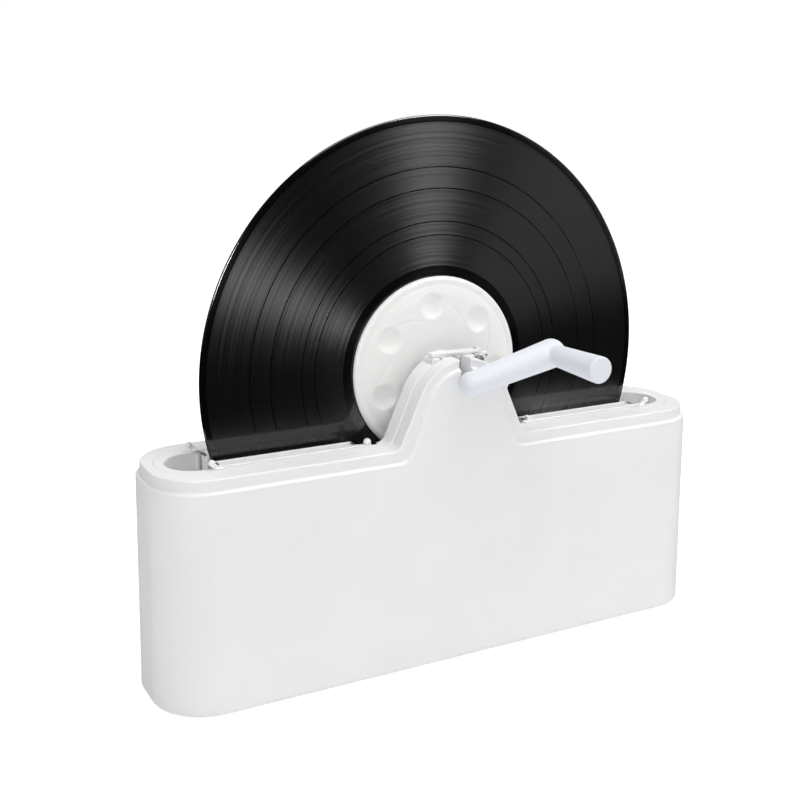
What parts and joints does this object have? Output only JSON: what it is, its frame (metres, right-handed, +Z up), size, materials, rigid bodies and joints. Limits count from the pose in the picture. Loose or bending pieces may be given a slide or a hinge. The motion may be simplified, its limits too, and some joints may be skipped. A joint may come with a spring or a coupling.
{
  "type": "record cleaning machine",
  "caption": "Hand-cranked record washer: a disc stands on edge in a narrow white bath between brushes, clamped at its label on an axle with a side crank.",
  "frame": {"origin": "on the floor straight under the middle of the record, at the underside of the middle foot", "axes": "+X along the casing, to the right seen from the crank side; -Y towards the crank side; +Z up"},
  "size_m": [0.3774, 0.1427, 0.3282],
  "materials": {
    "casing_white": "satin white moulded plastic",
    "tank_white": "satin white moulded plastic",
    "clamp_white": "warm white moulded plastic",
    "crank_white": "cool white moulded plastic, fine matt grain",
    "vinyl_black": "pressed black vinyl with fine grooves",
    "foot_rubber": "matt rubber",
    "seal_rubber": "soft rubber",
    "axle_steel": "turned steel",
    "dark_steel": "blackened steel",
    "bristle_hair": "natural soft hair"
  },
  "bodies": {
    "housing": {"outer_casing": "casing_white", "tank": "tank_white", "base_plate": "casing_white", "rubber_feet": "foot_rubber", "base_screws": "dark_steel", "tank_screws": "dark_steel"},
    "carriage": {"front_bearing_block": "tank_white", "rear_bearing_block": "tank_white", "front_bush": "clamp_white", "rear_bush": "clamp_white", "latch_pins": "dark_steel"},
    "front_latch": {"front_latch": "tank_white"},
    "rear_latch": {"rear_latch": "tank_white"},
    "rotor": {"axle": "axle_steel", "axle_clip": "axle_steel", "front_clamp": "clamp_white", "front_seal": "seal_rubber", "record": "vinyl_black", "crank_arm": "crank_white", "grip_cap": "crank_white"},
    "grip": {"crank_grip": "crank_white"},
    "rear_clamp": {"rear_clamp": "clamp_white", "rear_seal": "seal_rubber"},
    "clamp_nut": {"clamp_nut": "crank_white"},
    "brush_front_left": {"brush_holder_front_left": "tank_white", "bristles_front_left": "bristle_hair"},
    "brush_front_right": {"brush_holder_front_right": "tank_white", "bristles_front_right": "bristle_hair"},
    "brush_rear_left": {"brush_holder_rear_left": "tank_white", "bristles_rear_left": "bristle_hair"},
    "brush_rear_right": {"brush_holder_rear_right": "tank_white", "bristles_rear_right": "bristle_hair"}
  },
  "joints": [
    {"name": "carriage_lift", "type": "slide", "parent": "housing", "child": "carriage", "axis": [0, 0, 1], "range_m": [0, 0.17]},
    {"name": "rotor_spin", "type": "hinge", "parent": "carriage", "child": "rotor", "pos_m": [0, 0, 0.1772], "axis": [0, 1, 0], "continuous": true},
    {"name": "grip_spin", "type": "hinge", "parent": "rotor", "child": "grip", "pos_m": [0.05025, -0.0797, 0.19057], "axis": [0, 1, 0], "continuous": true},
    {"name": "clamp_release", "type": "slide", "parent": "rotor", "child": "rear_clamp", "axis": [0, 1, 0], "range_m": [0, 0.0025]},
    {"name": "nut_turn", "type": "hinge", "parent": "rear_clamp", "child": "clamp_nut", "pos_m": [0, 0.0079, 0.1772], "axis": [0, 1, 0], "range_deg": [0, 720]},
    {"name": "front_latch_swing", "type": "hinge", "parent": "carriage", "child": "front_latch", "pos_m": [0.0182, -0.0193, 0.1854], "axis": [0, 1, 0], "range_deg": [0, 85]},
    {"name": "rear_latch_swing", "type": "hinge", "parent": "carriage", "child": "rear_latch", "pos_m": [0.0182, 0.0193, 0.1854], "axis": [0, 1, 0], "range_deg": [0, 85]},
    {"name": "brush_lift_front_left", "type": "slide", "parent": "housing", "child": "brush_front_left", "axis": [0, 0, 1], "range_m": [0, 0.06]},
    {"name": "brush_lift_front_right", "type": "slide", "parent": "housing", "child": "brush_front_right", "axis": [0, 0, 1], "range_m": [0, 0.06]},
    {"name": "brush_lift_rear_left", "type": "slide", "parent": "housing", "child": "brush_rear_left", "axis": [0, 0, 1], "range_m": [0, 0.06]},
    {"name": "brush_lift_rear_right", "type": "slide", "parent": "housing", "child": "brush_rear_right", "axis": [0, 0, 1], "range_m": [0, 0.06]}
  ],
  "couplings": [
    {"joint": "nut_turn", "follows": "clamp_release", "rad_per_m": 5026.5}
  ]
}
